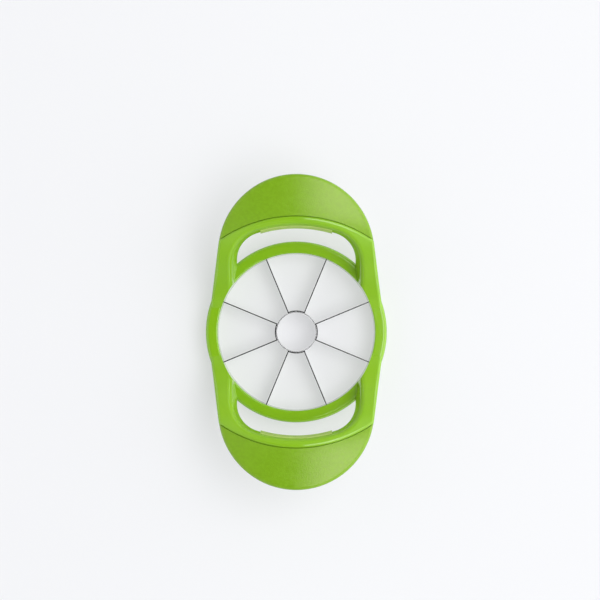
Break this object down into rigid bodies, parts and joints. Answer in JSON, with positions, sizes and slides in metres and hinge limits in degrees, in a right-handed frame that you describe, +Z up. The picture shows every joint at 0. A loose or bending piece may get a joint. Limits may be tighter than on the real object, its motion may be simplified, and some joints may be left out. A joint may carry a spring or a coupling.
{
  "type": "apple corer and wedger",
  "caption": "One-push apple corer and wedger: a plastic ring holds radial steel blades round a core tube, with a raised bail handle and soft grip on two sides.",
  "frame": {"origin": "centre of the ring's underside, on the plane that rests on the board", "axes": "+Z up from the board, +Y along the tool towards the rear handle, +X to the right"},
  "size_m": [0.1036, 0.1748, 0.0538],
  "materials": {
    "frame": "glossy lime green moulded plastic",
    "retaining_ring": "satin lime green moulded plastic",
    "grip": "satin soft-touch elastomer, lime green",
    "blade": "fine brushed stainless steel sheet",
    "core_tube": "brushed stainless steel tube"
  },
  "bodies": {
    "root": {"frame": "frame", "blade_retaining_ring": "retaining_ring", "core_tube": "core_tube", "grip_rear": "grip", "grip_front": "grip", "blade_strip_right": "blade", "blade_strip_rear": "blade", "blade_strip_left": "blade", "blade_strip_front": "blade"}
  },
  "joints": []
}
